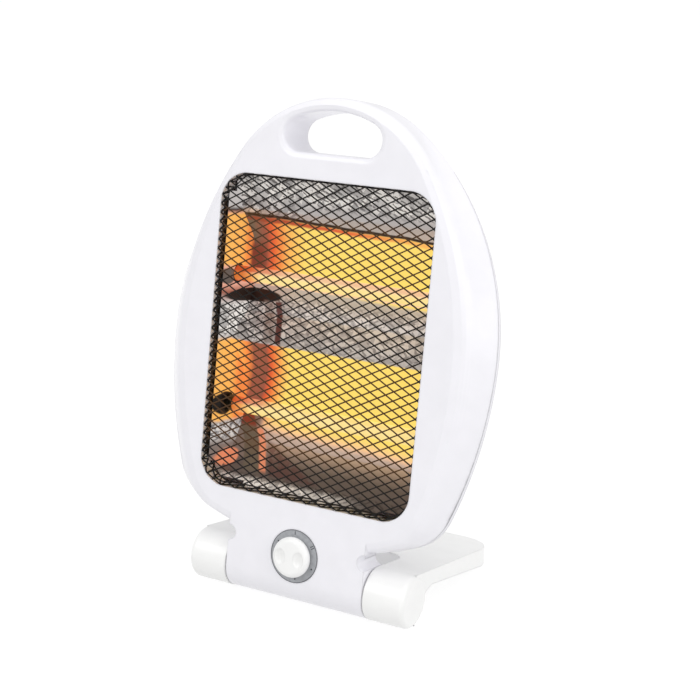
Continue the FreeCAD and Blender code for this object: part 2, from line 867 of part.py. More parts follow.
def make_coil(height):
    # One unbroken helix of resistance wire, with a straight tail at each end.
    centre = Vector(0, tube_depth, height)
    tail = 2 * coil_wire_radius
    half = coil_half_length - tail - coil_lead
    pitch = 2 * half / coil_turns
    rise = pitch / (2 * math.pi)
    slope = math.hypot(coil_radius, rise)

    def place(turn):
        angle = 2 * math.pi * turn
        return centre + Vector(-half + pitch * turn, coil_radius * math.cos(angle), coil_radius * math.sin(angle))

    def way(turn):
        angle = 2 * math.pi * turn
        return Vector(rise / slope, -coil_radius * math.sin(angle) / slope, coil_radius * math.cos(angle) / slope)

    along = Vector(1, 0, 0)
    tuck = coil_radius * coil_tuck_share
    first = place(0) + Vector(-coil_lead, -tuck, -tuck)
    last = place(coil_turns) + Vector(coil_lead, -tuck, tuck)
    edges = [segment(first - along * tail, first)]
    edges += biarc(first, along, place(0), way(0))
    steps = 2 * coil_turns
    for step in range(steps):
        edges += biarc(place(step / 2), way(step / 2), place((step + 1) / 2), way((step + 1) / 2))
    edges += biarc(place(coil_turns), way(coil_turns), last, along)
    edges += [segment(last, last + along * tail)]
    path = Part.Wire(Part.__sortEdges__(edges))
    circle = Part.Wire(Part.Circle(first - along * tail, along, coil_wire_radius).toShape())
    print("coil self gap", round(pitch - 2 * coil_wire_radius, 2), "length", round(path.Length, 1))
    coil = path.makePipeShell([circle], True, False)
    expected = math.pi * coil_wire_radius ** 2 * path.Length
    print("coil volume share", round(coil.Volume / expected, 4))
    return coil


# Dial, knob and switch

knob_face = -front_depth - dial_sheet + dial_recess - face_gap
switch_front = -front_depth + wall
switch_screw_places = [(side * switch_screw_spread, knob_height) for side in (-1, 1)]
switch_screw_depth = -front_depth + dial_recess + switch_screw_floor
switch_screw_tip = switch_front + screw_bite / 2
shaft_front = knob_face - knob_depth * shaft_engaged_share
shaft_back = switch_front + switch_depth * shaft_switch_share


def make_dial_ring():
    spot = (0, knob_height)
    back = -front_depth + dial_recess
    ring = rod(spot, dial_radius, back - dial_sheet, back)
    return ring.cut(rod(spot, shaft_hole_radius, back - dial_sheet, back))


def make_knob():
    # Round knob with an oval finger dimple each side of an upright grip bar.
    spot = (0, knob_height)
    face = knob_face - knob_depth
    knob = rod(spot, knob_radius, face, knob_face)
    knob = knob.makeFillet(knob_round, edges_at_depth(knob, face))
    knob = knob.makeFillet(knob_back_round, edges_at_depth(knob, knob_face))
    stand_off = dimple_half_width - dimple_depth
    for side in (-1, 1):
        centre = Vector(side * (grip_half_width + dimple_half_width), face - stand_off, knob_height)
        knob = knob.cut(ellipsoid(centre, dimple_half_width, dimple_half_height))
    return knob.cut(rod(spot, shaft_radius + running_gap, shaft_front, knob_face))


def ellipsoid(centre, half_width, half_height):
    # Upright ellipsoid of revolution, turned from half an ellipse.
    top = centre + Vector(0, 0, half_height)
    oval = Part.Ellipse(top, centre + Vector(half_width, 0, 0), centre)
    edge = oval.toShape(math.pi, 2 * math.pi)
    face = Part.Face(Part.Wire([edge, segment(edge.Vertexes[-1].Point, edge.Vertexes[0].Point)]))
    return face.revolve(centre, Vector(0, 0, 1), 360)


def make_switch_shaft():
    spot = (0, knob_height)
    return rod(spot, shaft_radius, shaft_front, shaft_back)


def make_rotary_switch():
    low = (-switch_width / 2, switch_front, knob_height - switch_height / 2)
    high = (switch_width / 2, switch_front + switch_depth, knob_height + switch_height / 2)
    body = block(low, high)
    body = body.makeFillet(inner_round, [edge for edge in body.Edges if edge.BoundBox.YLength > switch_depth / 2])
    spot = (0, knob_height)
    body = body.cut(rod(spot, shaft_radius + running_gap, switch_front, shaft_back + slide_gap))
    for place in switch_screw_places:
        body = body.cut(rod(place, screw_radius, switch_front, switch_screw_tip))
    for x in (-switch_spade_spread, switch_spade_spread):
        for rise in (-switch_spade_spread, switch_spade_spread):
            body = body.fuse(spade(x, switch_front + switch_depth, knob_height + rise))
    return body


def make_switch_screws():
    solids = []
    for place in switch_screw_places:
        head = rod(place, screw_head_radius - running_gap, -front_depth + dial_recess, switch_screw_depth)
        solids.append(head.fuse(rod(place, screw_radius, switch_screw_depth, switch_screw_tip)))
    return Part.makeCompound(solids)


def spade(x, back, height):
    # A flat push-on contact that stands out to the back.
    return block((x - spade_sheet / 2, back, height - spade_half_width),
                 (x + spade_sheet / 2, back + spade_length, height + spade_half_width))


def make_tilt_switch():
    half = tilt_switch_width / 2
    back = switch_front + tilt_switch_depth
    box = block((tilt_switch_x - half, switch_front, knob_height - half),
                (tilt_switch_x + half, back, knob_height + half))
    box = box.makeFillet(inner_round, [edge for edge in box.Edges if edge.BoundBox.YLength > tilt_switch_depth / 2])
    for side in (-1, 1):
        box = box.fuse(spade(tilt_switch_x + side * half / 2, back, knob_height))
    return box


def make_terminal_block():
    # A row of wire clamps: each has a screw well from behind and a wire hole from below.
    half_width = terminal_pitch * terminal_count / 2
    low = knob_height - terminal_half_height
    high = knob_height + terminal_half_height
    back = switch_front + terminal_depth
    body = block((terminal_x - half_width, switch_front, low), (terminal_x + half_width, back, high))
    for index in range(terminal_count):
        x = terminal_x - half_width + terminal_pitch * (index + 0.5)
        wire_depth = switch_front + terminal_depth / 3
        body = body.cut(rod((x, knob_height), clamp_radius, wire_depth, back))
        wire_hole = Part.makeCylinder(wire_radius, high - low, Vector(x, wire_depth, low), Vector(0, 0, 1))
        body = body.cut(wire_hole)
    return body


def make_thermal_cutout():
    # A disc on a mounting strip behind the upper trough.
    back = tube_depth + trough_depth + sheet
    spot = (cutout_x, upper_tube_height)
    disc = rod(spot, cutout_radius, back, back + cutout_depth)
    disc = disc.fuse(block((cutout_x - 2 * cutout_radius, back, upper_tube_height - trough_flat / 2),
                           (cutout_x + 2 * cutout_radius, back + sheet, upper_tube_height + trough_flat / 2)))
    for side in (-1, 1):
        disc = disc.fuse(spade(cutout_x + side * cutout_radius / 2, back + cutout_depth, upper_tube_height))
    return disc


def make_cord_gland():
    # The bushing in the rear wall that the mains lead would pass through.
    front = gland_seat - gland_neck
    back = gland_seat + gland_flange + gland_collar
    flange = rod(gland_place, gland_flange_radius, gland_seat, gland_seat + gland_flange)
    body = flange.fuse(rod(gland_place, gland_radius - running_gap, front, back))
    return body.cut(rod(gland_place, gland_bore, front, back))


def make_housing_screws():
    solids = []
    for x, z in housing_screw_places:
        seat = joint_depth(z) + wall
        head = rod((x, z), screw_head_radius, seat, seat + screw_head)
        solids.append(head.fuse(rod((x, z), screw_radius, joint_depth(z) - screw_bite, seat)))
    return Part.makeCompound(solids)


def make_reflector_screws():
    solids = []
    seat = flange_depth + sheet
    for x, z in reflector_screw_places:
        head = rod((x, z), screw_head_radius, seat, seat + screw_head)
        solids.append(head.fuse(rod((x, z), screw_radius, flange_depth - screw_bite, seat)))
    return Part.makeCompound(solids)


# Hinge and foot

arm_start = neck_half_width + seam_gap
foot_rear_low = -barrel_radius + foot_lift


def foot_slope():
    # Slope of the plate's top, which leaves the barrel as a tangent and ends at the rear edge.
    rear_top = foot_rear_low + foot_edge
    reach = math.hypot(foot_length, rear_top)
    return math.asin(barrel_radius / reach) + math.atan2(-rear_top, foot_length)


def plate_height(y, depth):
    # Height above the hinge axis of the plate's top, or of a surface at some depth under it.
    slope = foot_slope()
    return (barrel_radius - depth - y * math.sin(slope)) / math.cos(slope)


def plate_profile():
    # Side view of the plate and the web that joins it to the barrel.
    slope = foot_slope()
    axis = Vector(0, 0, 0)
    top_start = Vector(0, barrel_radius * math.sin(slope), barrel_radius * math.cos(slope))
    rear_top = Vector(0, foot_length, foot_rear_low + foot_edge)
    rear_low = Vector(0, foot_length, foot_rear_low)
    toe = Vector(0, toe_reach, foot_rear_low)
    root = Vector(0, root_reach, root_rise)
    hollow = Vector(0, hollow_reach, -hollow_drop)
    heel = Vector(0, heel_reach, -math.sqrt(barrel_radius ** 2 - heel_reach ** 2))
    edges = [
        segment(axis, top_start),
        segment(top_start, rear_top),
        segment(rear_top, rear_low),
        segment(rear_low, toe),
        segment(toe, root),
        arc(root, hollow, heel),
        segment(heel, axis),
    ]
    return Part.Wire(Part.__sortEdges__(edges))


def plan_wire(half_width, front, rear, corner):
    # Plan view of the plate: straight sides and a rear edge with large round corners.
    bend = corner * (1 - math.sqrt(0.5))
    points = {
        "front": Vector(half_width, front, 0),
        "side": Vector(half_width, rear - corner, 0),
        "round": Vector(half_width - bend, rear - bend, 0),
        "rear": Vector(half_width - corner, rear, 0),
    }
    edges = [
        segment(Vector(0, front, 0), points["front"]),
        segment(points["front"], points["side"]),
        arc(points["side"], points["round"], points["rear"]),
        segment(points["rear"], Vector(0, rear, 0)),
    ]
    return Part.Wire(Part.__sortEdges__(edges + mirrored(edges)))


def upright_prism(wire):
    face = Part.Face(wire)
    solid = face.extrude(Vector(0, 0, 4 * barrel_radius))
    solid.translate(Vector(0, 0, -2 * barrel_radius))
    return solid


def pad_box(side):
    x = side * pad_inset_x
    y = foot_length - pad_inset_y
    return block((x - pad_width / 2, y - pad_length / 2, -barrel_radius),
                 (x + pad_width / 2, y + pad_length / 2, foot_rear_low + pad_sink))


def make_foot():
    # A round-ended barrel with the plate behind it; the notch leaves room for the neck.
    barrel = cross_rod((0, 0), barrel_radius, -barrel_half_length, barrel_half_length)
    ends = [edge for edge in barrel.Edges if edge.BoundBox.XLength < running_gap]
    barrel = barrel.makeFillet(barrel_end_round, ends)
    plate_half_width = barrel_half_length - foot_side_step
    plate = Part.Face(plate_profile()).extrude(Vector(2 * plate_half_width, 0, 0))
    plate.translate(Vector(-plate_half_width, 0, 0))
    plate = plate.common(upright_prism(plan_wire(plate_half_width, -2 * barrel_radius, foot_length, foot_corner)))
    notch = plan_wire(arm_start, -2 * barrel_radius, notch_depth, notch_corner)
    body = barrel.fuse(plate).cut(upright_prism(notch)).cut(foot_pockets())
    bore = cross_rod((0, 0), pin_radius + running_gap, -pin_reach - slide_gap, pin_reach + slide_gap)
    for side in sides.values():
        body = body.cut(pad_box(side))
    return body.cut(bore)


def foot_pockets():
    # Shallow hollows under the plate between its rim and its ribs.
    front = notch_depth + foot_rim
    rear = foot_length - pad_inset_y - pad_length
    slab = Part.makePolygon([
        Vector(0, front, plate_height(front, foot_skin)),
        Vector(0, rear, plate_height(rear, foot_skin)),
        Vector(0, rear, plate_height(rear, 3 * foot_edge)),
        Vector(0, front, plate_height(front, 3 * foot_edge)),
        Vector(0, front, plate_height(front, foot_skin)),
    ])
    half = barrel_half_length - foot_rim
    pocket = Part.Face(slab).extrude(Vector(2 * half, 0, 0))
    pocket.translate(Vector(-half, 0, 0))
    for index in range(1, foot_bays):
        x = -half + 2 * half * index / foot_bays
        rib = block((x - foot_rib / 2, front - 1, -2 * barrel_radius), (x + foot_rib / 2, rear + 1, barrel_radius))
        pocket = pocket.cut(rib)
    return pocket


def make_hinge_pin(side):
    inner = neck_hollow_half_width
    low, high = facing(side, inner, pin_reach)
    pin = cross_rod((0, 0), pin_radius, low, high)
    low, high = facing(side, inner - pin_head, inner)
    return pin.fuse(cross_rod((0, 0), pin_head_radius, low, high))


def make_hinge_washer(side):
    low, high = facing(side, neck_half_width, neck_half_width + seam_gap - 2 * running_gap)
    washer = cross_rod((0, 0), washer_radius, low, high)
    return washer.cut(cross_rod((0, 0), pin_radius + running_gap, low, high))


def lean_back(shape):
    leaned = shape.copy()
    leaned.rotate(Vector(0, 0, 0), Vector(1, 0, 0), -lean_angle)
    return leaned


# Assembly

leaning = {
    "front_shell": make_front_shell(),
    "rear_shell": make_rear_shell(),
    "mesh_guard": make_mesh_guard(),
    "reflector": make_reflector(),
    "bracket_screws": make_bracket_screws(),
    "dial_ring": make_dial_ring(),
    "knob": make_knob(),
    "switch_shaft": make_switch_shaft(),
    "rotary_switch": make_rotary_switch(),
    "switch_screws": make_switch_screws(),
    "tilt_switch": make_tilt_switch(),
    "terminal_block": make_terminal_block(),
    "thermal_cutout": make_thermal_cutout(),
    "cord_gland": make_cord_gland(),
    "housing_screws": make_housing_screws(),
    "reflector_screws": make_reflector_screws(),
}
for side_name, side in sides.items():
    leaning[side_name + "_end_plate"] = make_end_plate(side)
    leaning[side_name + "_tube_bracket"] = make_bracket(side)
    leaning[side_name + "_hinge_pin"] = make_hinge_pin(side)
    leaning[side_name + "_hinge_washer"] = make_hinge_washer(side)
for level, height in tube_heights.items():
    leaning[level + "_quartz_tube"] = make_tube(height)
    leaning[level + "_heating_coil"] = make_coil(height)
    for side_name, side in sides.items():
        leaning[level + "_" + side_name + "_tube_cap"] = make_tube_cap(height, side)
        leaning[level + "_" + side_name + "_terminal"] = make_stud(height, side)

standing = {name: lean_back(shape) for name, shape in leaning.items()}
standing["foot"] = make_foot()
for side_name, side in sides.items():
    standing[side_name + "_foot_pad"] = pad_box(side)

# The finished part stands on z = 0, centred over its own footprint.
bounds = FreeCAD.BoundBox()
for shape in standing.values():
    bounds.add(shape.optimalBoundingBox(False))
shift = Vector(-bounds.Center.x, -bounds.Center.y, barrel_radius)

os.makedirs("parts", exist_ok=True)
for name, shape in sorted(standing.items()):
    shape.translate(shift)
    shape.exportStep("parts/" + name + ".step")
    solids = len(shape.Solids)
    print(name, "solids", solids, "valid", shape.isValid(), "volume", round(shape.Volume, 1))
print("shift", shift, "size", bounds.XLength, bounds.YLength, bounds.ZLength)
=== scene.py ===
"""Looks of a portable quartz heater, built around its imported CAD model."""

import json
import math

import bpy
from mathutils import Matrix, Vector


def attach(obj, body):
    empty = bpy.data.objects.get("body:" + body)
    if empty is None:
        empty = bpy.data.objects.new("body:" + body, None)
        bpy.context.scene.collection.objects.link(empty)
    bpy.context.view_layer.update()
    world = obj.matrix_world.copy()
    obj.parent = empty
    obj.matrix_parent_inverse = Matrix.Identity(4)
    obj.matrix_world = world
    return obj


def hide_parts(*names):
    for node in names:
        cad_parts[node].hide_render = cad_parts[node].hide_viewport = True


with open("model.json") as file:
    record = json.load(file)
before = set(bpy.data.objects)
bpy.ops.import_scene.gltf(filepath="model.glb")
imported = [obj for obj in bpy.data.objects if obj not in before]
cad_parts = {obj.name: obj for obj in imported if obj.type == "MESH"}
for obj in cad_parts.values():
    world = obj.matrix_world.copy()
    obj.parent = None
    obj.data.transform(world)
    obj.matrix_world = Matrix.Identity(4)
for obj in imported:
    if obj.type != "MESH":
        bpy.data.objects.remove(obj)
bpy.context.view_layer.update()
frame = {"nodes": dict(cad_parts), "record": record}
nodes = frame["nodes"]

# The housing's own frame: x right, y back, z up along the flat front, in millimetres.
# Its origin lies just under the hinge axis.
LEAN = math.radians(10.5)
ORIGIN = Vector((0.0, -58.698, 17.056))
MM = 0.001
AXES = {
    "x": Vector((1, 0, 0)),
    "y": Vector((0, math.cos(LEAN), -math.sin(LEAN))),
    "z": Vector((0, math.sin(LEAN), math.cos(LEAN))),
}

# Sizes repeated from the CAD model, in millimetres
FRONT = -20.0
WINDOW_HALF_WIDTH = 89.0
WINDOW_BOTTOM = 62.0
WINDOW_TOP = 298.0
WINDOW_MIDDLE = (WINDOW_TOP + WINDOW_BOTTOM) / 2
WINDOW_HALF_HEIGHT = (WINDOW_TOP - WINDOW_BOTTOM) / 2
WINDOW_CORNER = 22.0
KNOB_HEIGHT = 21.5
DIAL_FACE = -20.2
TUBE_HEIGHTS = {"upper": 221.0, "lower": 121.0}

# One diamond of the guard's net, in millimetres
CELL_WIDTH = 12.6
CELL_HEIGHT = 6.7
CELL_SLOPE = CELL_HEIGHT / CELL_WIDTH

# Lower and upper edges of what glows on the reflector, as heights in millimetres
UPPER_TROUGH_BOTTOM = 212.0
UPPER_TROUGH_TOP = 263.5
LOWER_TROUGH_BOTTOM = 99.0
LOWER_TROUGH_TOP = 170.75


def row(x, y, z):
    """A point of the housing's own frame, in metres in the row frame."""
    return (x * AXES["x"] + y * AXES["y"] + z * AXES["z"] + ORIGIN) * MM


def add_object(name, data):
    piece = bpy.data.objects.new(name, data)
    bpy.context.scene.collection.objects.link(piece)
    return piece


def add_mesh(name, points, faces):
    mesh = bpy.data.meshes.new(name)
    mesh.from_pydata(points, [], faces)
    return add_object(name, mesh)


def add_sheet(name, points, faces, thickness):
    """A mesh of single faces, thickened evenly to both sides by a number of millimetres in all."""
    piece = add_mesh(name, points, faces)
    thick = piece.modifiers.new("sheet", "SOLIDIFY")
    thick.thickness = thickness * MM
    thick.offset = 0.0
    return piece


# Node graph helpers

class Graph:
    """A material's node tree, with short calls for the nodes used here."""

    def __init__(self, name):
        self.material = bpy.data.materials.new(name)
        self.material.use_nodes = True
        self.tree = self.material.node_tree
        self.shader = self.tree.nodes["Principled BSDF"]
        self.output = self.tree.nodes["Material Output"]

    def node(self, kind, **settings):
        made = self.tree.nodes.new(kind)
        for key, value in settings.items():
            setattr(made, key, value)
        return made

    def link(self, source, target):
        self.tree.links.new(source, target)

    def put(self, target, value):
        """Links an output to a socket, or sets the socket to a number or a colour."""
        if hasattr(value, "is_output"):
            self.link(value, target)
        elif target.type == "RGBA":
            target.default_value = (*value, 1.0)
        else:
            target.default_value = value

    def set(self, **values):
        for key, value in values.items():
            self.put(self.shader.inputs[key.replace("_", " ")], value)

    def math(self, operation, first, second=0.0):
        made = self.node("ShaderNodeMath", operation=operation)
        self.put(made.inputs[0], first)
        self.put(made.inputs[1], second)
        return made.outputs[0]

    def times(self, first, *others):
        for other in others:
            first = self.math("MULTIPLY", first, other)
        return first

    def most(self, first, *others):
        for other in others:
            first = self.math("MAXIMUM", first, other)
        return first

    def slanted(self, value, other, slope):
        """value with a share of another coordinate added, for lines that lie askew."""
        return self.math("ADD", value, self.times(other, slope))

    def position(self):
        return self.node("ShaderNodeTexCoord").outputs["Object"]

    def along(self, axis):
        """Millimetres along one axis of the housing's frame, from the object's coordinates."""
        direction = AXES[axis] / MM
        dot = self.node("ShaderNodeVectorMath", operation="DOT_PRODUCT")
        self.link(self.position(), dot.inputs[0])
        dot.inputs[1].default_value = direction
        return self.math("SUBTRACT", dot.outputs["Value"], direction.dot(ORIGIN * MM))

    def facing(self, direction):
        """How far the surface faces one direction, from -1 to 1."""
        dot = self.node("ShaderNodeVectorMath", operation="DOT_PRODUCT")
        self.link(self.node("ShaderNodeNewGeometry").outputs["Normal"], dot.inputs[0])
        dot.inputs[1].default_value = direction
        return dot.outputs["Value"]

    def noise(self, scale, detail=4.0, roughness=0.5):
        made = self.node("ShaderNodeTexNoise")
        self.link(self.position(), made.inputs["Vector"])
        made.inputs["Scale"].default_value = scale
        made.inputs["Detail"].default_value = detail
        made.inputs["Roughness"].default_value = roughness
        return made.outputs["Fac"]

    def wander(self, value, scale, reach):
        """value moved to and fro by noise, for edges that aren't straight."""
        return self.slanted(value, self.math("SUBTRACT", self.noise(scale, 3.0), 0.5), reach)

    def ramp(self, factor, stops):
        made = self.node("ShaderNodeValToRGB")
        elements = made.color_ramp.elements
        while len(elements) < len(stops):
            elements.new(0.5)
        for element, (place, colour) in zip(elements, stops):
            element.position = place
            element.color = (*colour, 1.0)
        self.link(factor, made.inputs["Fac"])
        return made.outputs["Color"]

    def tones(self, value, stops):
        """A ramp with its stops in millimetres along a coordinate."""
        low = stops[0][0]
        length = stops[-1][0] - low
        share = self.math("DIVIDE", self.math("SUBTRACT", value, low), length)
        return self.ramp(share, [((place - low) / length, tone) for place, tone in stops])

    def mix(self, factor, first, second, blend="MIX"):
        made = self.node("ShaderNodeMix", data_type="RGBA", blend_type=blend)
        self.put(made.inputs["Factor"], factor)
        self.put(made.inputs["A"], first)
        self.put(made.inputs["B"], second)
        return made.outputs["Result"]

    def shaded(self, colour, shade, factor=1.0):
        return self.mix(factor, colour, shade, "MULTIPLY")

    def bump(self, height, strength, distance, normal=None):
        made = self.node("ShaderNodeBump")
        made.inputs["Strength"].default_value = strength
        made.inputs["Distance"].default_value = distance
        self.link(height, made.inputs["Height"])
        if normal:
            self.link(normal, made.inputs["Normal"])
        self.link(made.outputs["Normal"], self.shader.inputs["Normal"])

    def soft_edges(self, radius):
        made = self.node("ShaderNodeBevel", samples=6)
        made.inputs["Radius"].default_value = radius
        return made.outputs["Normal"]

    def step(self, value, start, end):
        """0 before start and 1 past end, with a smooth change between; end may be the smaller."""
        made = self.node("ShaderNodeMapRange", interpolation_type="SMOOTHSTEP")
        self.put(made.inputs["Value"], value)
        made.inputs["From Min"].default_value = start
        made.inputs["From Max"].default_value = end
        return made.outputs["Result"]

    def past(self, value, place, soft):
        """1 past a place and 0 before it, with a soft edge."""
        return self.step(value, place - soft, place + soft)

    def before(self, value, place, soft):
        """1 before a place and 0 past it, with a soft edge."""
        return self.step(value, place + soft, place - soft)

    def band(self, value, low, high, soft):
        """1 between low and high, with soft ends."""
        return self.times(self.past(value, low, soft), self.before(value, high, soft))

    def oval(self, across, up, centre, half_size, soft=0.15):
        """1 inside an ellipse drawn in two coordinates."""
        parts = []
        for value, middle, half in zip((across, up), centre, half_size):
            share = self.math("DIVIDE", self.math("SUBTRACT", value, middle), half)
            parts.append(self.times(share, share))
        return self.step(self.math("ADD", *parts), 1 + soft, 1 - soft)


def linear(value):
    """One channel of a colour on screen, from 0 to 255, as the light that it stands for."""
    share = value / 255
    return share / 12.92 if share <= 0.04045 else ((share + 0.055) / 1.055) ** 2.4


def srgb(red, green, blue):
    return (linear(red), linear(green), linear(blue))


# Tones of the lit inside, painted as its light, shade and reflections: from foil and shadow to the glow
# of the tubes

WHITE_FOIL = srgb(230, 225, 220)
PALE_FOIL = srgb(214, 211, 208)
FOIL = srgb(191, 187, 186)
WARM_GREY = srgb(186, 166, 157)
SHADOW = srgb(128, 113, 106)
DEEP_SHADOW = srgb(98, 87, 81)
BARE_METAL = srgb(176, 177, 180)
# Near black: painted shade in the holes of the end plates, on tube end, plate and ceramic
HOLE_SHADE = srgb(16, 16, 18)
DARK_BROWN = srgb(36, 25, 22)
MAROON = srgb(88, 52, 49)
OLIVE = srgb(104, 94, 80)
BROWN = srgb(152, 88, 70)
RED_BROWN = srgb(128, 64, 49)
RED = srgb(226, 98, 56)
ORANGE = srgb(244, 142, 72)
AMBER = srgb(250, 184, 94)
GOLD = srgb(252, 221, 112)
CORAL = srgb(220, 136, 100)
BLUSH = srgb(228, 168, 146)
PEACH = srgb(241, 193, 150)
PALE_GOLD = srgb(252, 220, 132)
TUBE_CORE = (srgb(252, 222, 136), srgb(253, 230, 152))
TUBE_END = srgb(240, 172, 132)
TUBE_BODY = srgb(120, 100, 80)
# Painted glow of the troughs on the guard's wires in front of them
PAINTED_WIRE_GLOW = srgb(68, 43, 16)

# Shades that multiply a tone: the painted light and shade of crumpled foil's facets, a painted
# reflection of a wire, and surfaces that glow
FACET_SHADES = [
    (0.0, (0.62, 0.62, 0.63)),
    (0.45, (0.92, 0.92, 0.92)),
    (0.55, (1.2, 1.2, 1.19)),
    (1.0, (1.3, 1.3, 1.28)),
]
MIRRORED_WIRE = (0.12, 0.11, 0.11)
DIMMED_SHEET = (0.25, 0.25, 0.25)
DIMMED_PLATE = (0.3, 0.3, 0.3)
UNCHANGED = (1, 1, 1)

# Light of its own that a surface gives: painted glow on the reflector sheet and its troughs, and the
# glow of tubes and coil
SHEET_GLOW = 0.3
TROUGH_GLOW = 0.85
TUBE_GLOW = 0.9
COIL_GLOW = 4.0

# Sizes of grain: the noise's scale and the depth of its bumps in metres
GRAIN = 400.0
GRAIN_DEPTH = 0.0002


# Materials

def white_plastic(name, tone, edge_radius):
    """Gloss plastic with faint clouds and softened edges."""
    graph = Graph(name)
    cloud = graph.noise(60.0, 3.0)
    clouded = [0.97 * part for part in tone]
    graph.set(Base_Color=graph.ramp(cloud, [(0.3, clouded), (0.7, tone)]))
    graph.set(Roughness=0.28, Coat_Weight=0.25, Coat_Roughness=0.12, Specular_IOR_Level=0.45)
    graph.bump(graph.noise(1400.0, 2.0), 0.05, GRAIN_DEPTH, graph.soft_edges(edge_radius))
    return graph.material


def black_wire():
    """Black wire with a painted glow in brown where it lies before the two glowing troughs."""
    graph = Graph("black enamelled wire")
    worn = graph.noise(900.0)
    height = graph.along("z")
    before_troughs = graph.most(graph.band(height, 96, 174, 5), graph.band(height, 222, 272, 5))
    off_the_walls = graph.step(graph.math("ABSOLUTE", graph.along("x")), 87, 84)
    # Painted glow on the wires before the troughs, away from the side walls
    trough_glow_on_wire = graph.times(before_troughs, off_the_walls)
    graph.set(Base_Color=graph.ramp(worn, [(0.35, srgb(7, 6, 6)), (0.75, srgb(20, 17, 16))]))
    graph.set(Roughness=0.55, Specular_IOR_Level=0.25)
    graph.set(Emission_Color=PAINTED_WIRE_GLOW, Emission_Strength=trough_glow_on_wire)
    graph.bump(worn, 0.2, 0.0001)
    return graph.material


def crinkle(graph, across, height):
    """Thin foil: its folds, and a painted shade of light and dark facets with a broken mirror image of
    the guard, painted as a reflection.
    """
    folds = graph.noise(150.0, 5.0, 0.62)
    facets = graph.node("ShaderNodeTexVoronoi")
    graph.link(graph.position(), facets.inputs["Vector"])
    facets.inputs["Scale"].default_value = 170.0
    channels = graph.node("ShaderNodeSeparateColor")
    graph.link(facets.outputs["Color"], channels.inputs["Color"])
    light = graph.ramp(channels.outputs["Red"], FACET_SHADES)
    strokes = []
    for slope in (CELL_SLOPE, -CELL_SLOPE):
        line = graph.wander(graph.slanted(height, across, slope), 70.0, 9.0)
        place = graph.math("FRACT", graph.math("DIVIDE", line, CELL_HEIGHT))
        strokes.append(graph.band(place, 0.39, 0.61, 0.05))
    broken = graph.step(graph.noise(260.0, 3.0, 0.6), 0.40, 0.50)
    stroke = graph.times(graph.most(*strokes), broken, 0.85)
    return folds, graph.mix(stroke, light, MIRRORED_WIRE)


def bare_sheet(graph, across, height, shade):
    """Painted light and shade of the foil above, between and below the troughs, with painted shadow
    under the lower one and at the lower right.
    """
    sheet = graph.tones(height, [
        (60, WHITE_FOIL), (66, WHITE_FOIL), (69, DEEP_SHADOW), (79, DEEP_SHADOW), (85, SHADOW),
        (96, WARM_GREY), (150, FOIL), (276, FOIL), (282, PALE_FOIL), (298, PALE_FOIL),
    ])
    dim_foot = graph.times(graph.step(height, 71, 68), graph.step(across, -10, 55))
    sheet = graph.mix(dim_foot, sheet, DEEP_SHADOW)
    top_folds = graph.band(height, 277, 299, 4)
    top_left_folds = graph.times(graph.band(height, 268, 299, 3), graph.step(across, -25, -45))
    left_folds = graph.times(graph.band(height, 172, 203, 3), graph.step(across, -44, -56))
    middle_folds = graph.times(graph.band(height, 172, 205, 4), 0.7)
    low_folds = graph.times(graph.band(height, 60, 70, 1), 0.7)
    crumpled = graph.most(top_folds, top_left_folds, left_folds, middle_folds, low_folds)
    return graph.shaded(sheet, shade, crumpled)


def upper_trough_glow(graph, across, height, level):
    """Painted glow in gold, with a left end that fades through orange and red to the dark plate it
    mirrors, a painted reflection.
    """
    askew = graph.slanted(across, graph.math("SUBTRACT", height, 240.0), -0.2)
    glow = graph.tones(askew, [
        (-84, OLIVE), (-74, BROWN), (-68, RED), (-61, ORANGE), (-54, AMBER), (-38, GOLD),
    ])
    brown_end = graph.times(graph.step(height, 250, 238), graph.step(askew, -70, -78))
    glow = graph.mix(brown_end, glow, RED_BROWN)
    fringe = graph.tones(across, [(-84, RED_BROWN), (0, RED), (60, AMBER)])
    return graph.mix(graph.band(level, 259.5, 263, 1.2), glow, fringe)


def lower_trough_glow(graph, across, height, level):
    """Painted glow in gold, with a peach lower edge and a brown stripe between the glow of plate and
    trough.
    """
    askew = graph.slanted(across, graph.math("SUBTRACT", height, 140.0), -0.36)
    glow = graph.tones(askew, [
        (-90, AMBER), (-82, ORANGE), (-76, BROWN), (-65, BROWN),
        (-61, RED), (-56, ORANGE), (-51, AMBER), (-44, GOLD),
    ])
    return graph.mix(graph.step(level, 110, 98), glow, PEACH)


